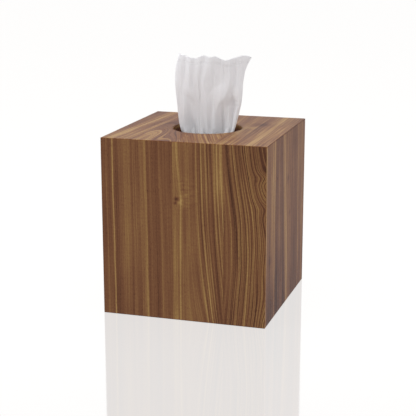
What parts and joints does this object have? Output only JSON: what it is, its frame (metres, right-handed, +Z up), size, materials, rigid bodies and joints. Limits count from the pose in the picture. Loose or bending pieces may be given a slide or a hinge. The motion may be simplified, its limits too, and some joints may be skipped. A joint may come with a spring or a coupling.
{
  "type": "tissue box",
  "caption": "Wooden cube tissue box cover with a round hole in its top, over a cube carton of facial tissues, one tissue standing up through the hole.",
  "frame": {"origin": "middle of the footprint, on the surface that the box stands on", "axes": "+Z up, front face towards -Y, +X to the right seen from the front"},
  "size_m": [0.13, 0.13, 0.1978],
  "materials": {
    "wood": "satin walnut",
    "card": "white-lined paperboard",
    "film": "clear plastic film",
    "tissue": "soft two-ply tissue"
  },
  "bodies": {
    "root": {"front_panel": "wood", "back_panel": "wood", "left_panel": "wood", "right_panel": "wood", "top_panel": "wood", "carton": "card", "carton_film": "film", "tissue_stack": "tissue", "pulled_tissue": "tissue"}
  },
  "joints": []
}
